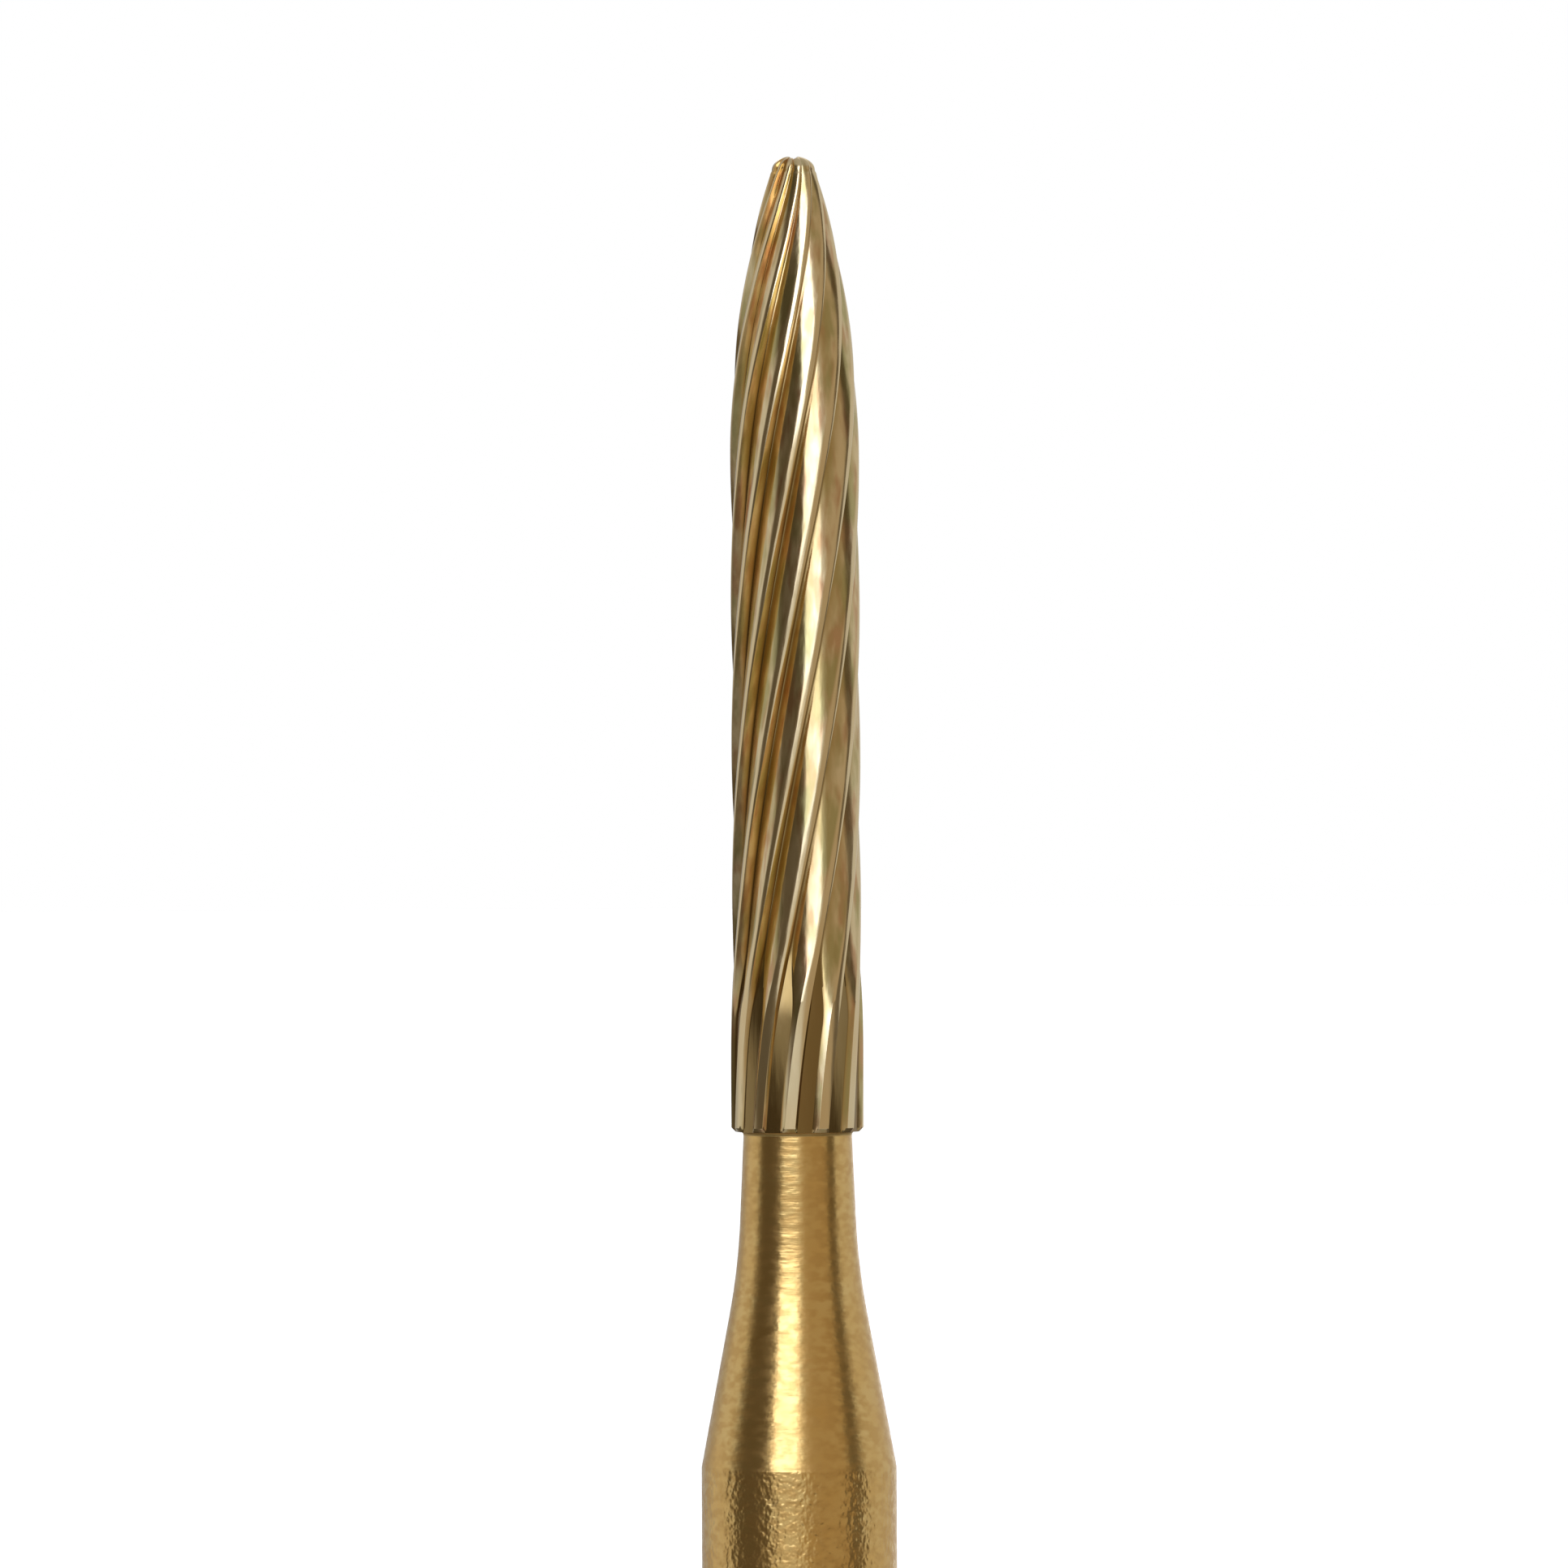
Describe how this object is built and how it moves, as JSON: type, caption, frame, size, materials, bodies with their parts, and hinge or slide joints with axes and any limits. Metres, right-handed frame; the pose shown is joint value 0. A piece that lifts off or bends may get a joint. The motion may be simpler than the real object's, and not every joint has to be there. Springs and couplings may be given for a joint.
{
  "type": "carbide finishing bur",
  "caption": "Slim friction-grip rotary cutter: flame-pointed head with fine right-hand helical blades, slim neck, cone and plain parallel shank.",
  "frame": {"origin": "centre of the shank's rear end face, where the shank seats on the stop in its chuck", "axes": "+Z along the axis of rotation towards the tip; X and Y square to it, with the blades clocked so that -Y is the front view"},
  "size_m": [0.0016, 0.0016, 0.022],
  "materials": {
    "coated_carbide": "gloss",
    "coated_braze": "satin",
    "coated_steel": "satin"
  },
  "bodies": {
    "root": {"cutter_head": "coated_carbide", "braze_joint": "coated_braze", "shank": "coated_steel"}
  },
  "joints": []
}
